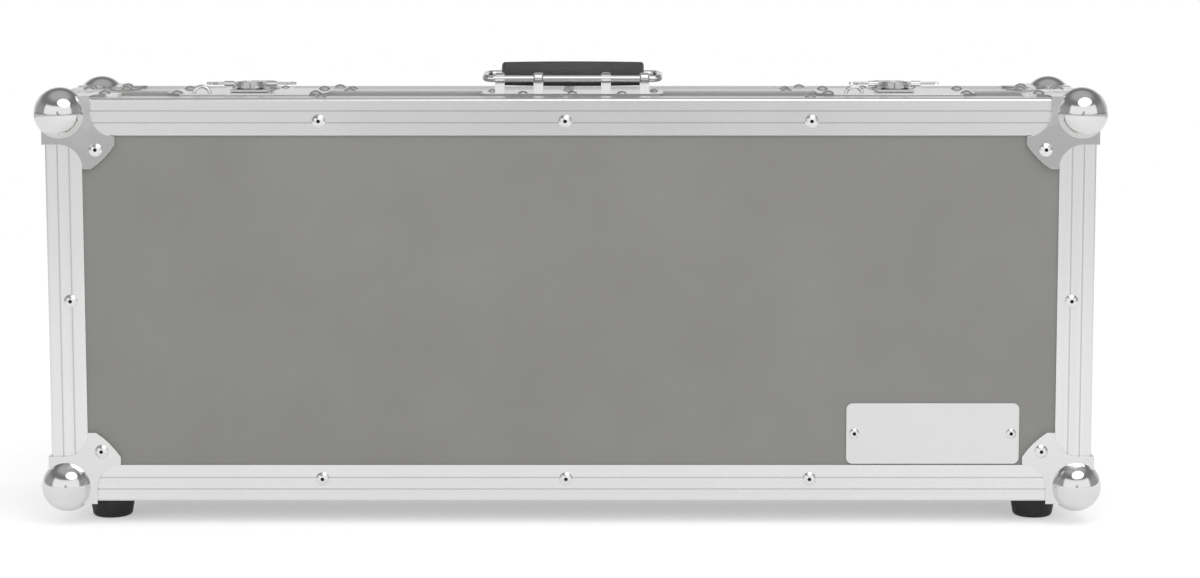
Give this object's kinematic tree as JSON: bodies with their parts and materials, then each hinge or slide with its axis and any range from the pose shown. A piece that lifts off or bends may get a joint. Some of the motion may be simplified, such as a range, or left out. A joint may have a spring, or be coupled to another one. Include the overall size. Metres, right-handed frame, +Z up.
{
  "type": "guitar pedal case",
  "caption": "Flight case for guitar pedals: two grey panelled halves in aluminium edging with ball corners, folding handle, two butterfly latches and rubber feet.",
  "frame": {"origin": "on the floor, under the middle of the case", "axes": "+X along the case to the right, +Z up, front panel faces -Y"},
  "size_m": [0.8674, 0.2168, 0.3756],
  "materials": {
    "panel_laminate": "grey laminate on plywood, fine texture, satin",
    "edging_aluminium": "satin extruded, fine lengthwise lines",
    "chrome_hardware": "bright nickel-chrome plating",
    "rivet_aluminium": "bright domed",
    "zinc_steel": "zinc plated",
    "plate_aluminium": "fine brushed, bare",
    "foot_rubber": "matt moulded",
    "grip_rubber": "satin moulded",
    "foam_lining": "closed-cell foam"
  },
  "bodies": {
    "base": {"base_face_panel": "panel_laminate", "base_top_panel": "panel_laminate", "base_bottom_panel": "panel_laminate", "base_left_panel": "panel_laminate", "base_right_panel": "panel_laminate", "base_face_edging": "edging_aluminium", "base_corner_edging": "edging_aluminium", "base_rim": "edging_aluminium", "base_lining": "foam_lining", "front_ball_corners": "chrome_hardware", "base_corner_braces": "chrome_hardware", "base_rivets": "rivet_aluminium", "name_plate": "plate_aluminium", "name_plate_rivets": "rivet_aluminium", "base_feet": "foot_rubber", "base_foot_screws": "zinc_steel", "handle_bracket": "chrome_hardware", "handle_rivets": "rivet_aluminium", "latch_left_plate": "chrome_hardware", "latch_left_bridge": "chrome_hardware", "latch_left_hoop": "chrome_hardware", "latch_right_plate": "chrome_hardware", "latch_right_bridge": "chrome_hardware", "latch_right_hoop": "chrome_hardware", "latch_rivets": "rivet_aluminium", "hinge_base_leaves": "zinc_steel", "hinge_pins": "zinc_steel"},
    "lid": {"latch_left_keeper": "chrome_hardware", "latch_right_keeper": "chrome_hardware", "keeper_rivets": "rivet_aluminium", "hinge_lid_leaves": "zinc_steel", "lid_face_panel": "panel_laminate", "lid_top_panel": "panel_laminate", "lid_bottom_panel": "panel_laminate", "lid_left_panel": "panel_laminate", "lid_right_panel": "panel_laminate", "lid_face_edging": "edging_aluminium", "lid_corner_edging": "edging_aluminium", "lid_rim": "edging_aluminium", "lid_lining": "foam_lining", "back_ball_corners": "chrome_hardware", "lid_corner_braces": "chrome_hardware", "lid_rivets": "rivet_aluminium", "lid_feet": "foot_rubber", "lid_foot_screws": "zinc_steel"},
    "handle": {"handle_ring": "chrome_hardware", "handle_grip": "grip_rubber"},
    "latch_left_turn": {"latch_left_hub": "chrome_hardware", "latch_left_pin": "zinc_steel"},
    "latch_left_flap": {"latch_left_wing": "chrome_hardware"},
    "latch_left_slide": {"latch_left_tongue": "zinc_steel"},
    "latch_right_turn": {"latch_right_hub": "chrome_hardware", "latch_right_pin": "zinc_steel"},
    "latch_right_flap": {"latch_right_wing": "chrome_hardware"},
    "latch_right_slide": {"latch_right_tongue": "zinc_steel"}
  },
  "joints": [
    {"name": "lid_hinge", "type": "hinge", "parent": "base", "child": "lid", "pos_m": [0, 0.0315, 0.016], "axis": [-1, 0, 0], "range_deg": [0, 105]},
    {"name": "handle_fold", "type": "hinge", "parent": "base", "child": "handle", "pos_m": [0, -0.0275, 0.3625], "axis": [1, 0, 0], "range_deg": [0, 90]},
    {"name": "latch_left_turn", "type": "hinge", "parent": "base", "child": "latch_left_turn", "pos_m": [-0.268, -0.0185, 0.35], "axis": [0, 0, 1], "range_deg": [0, 180]},
    {"name": "latch_left_flap", "type": "hinge", "parent": "latch_left_turn", "child": "latch_left_flap", "pos_m": [-0.268, -0.0185, 0.358], "axis": [1, 0, 0], "range_deg": [0, 90]},
    {"name": "latch_left_slide", "type": "slide", "parent": "base", "child": "latch_left_slide", "axis": [0, 1, 0], "range_m": [0, 0.006]},
    {"name": "latch_right_turn", "type": "hinge", "parent": "base", "child": "latch_right_turn", "pos_m": [0.268, -0.0185, 0.35], "axis": [0, 0, 1], "range_deg": [0, 180]},
    {"name": "latch_right_flap", "type": "hinge", "parent": "latch_right_turn", "child": "latch_right_flap", "pos_m": [0.268, -0.0185, 0.358], "axis": [1, 0, 0], "range_deg": [0, 90]},
    {"name": "latch_right_slide", "type": "slide", "parent": "base", "child": "latch_right_slide", "axis": [0, 1, 0], "range_m": [0, 0.006]}
  ],
  "couplings": [
    {"joint": "latch_left_slide", "follows": "latch_left_turn", "m_per_rad": 0.0019098},
    {"joint": "latch_right_slide", "follows": "latch_right_turn", "m_per_rad": 0.0019098}
  ]
}
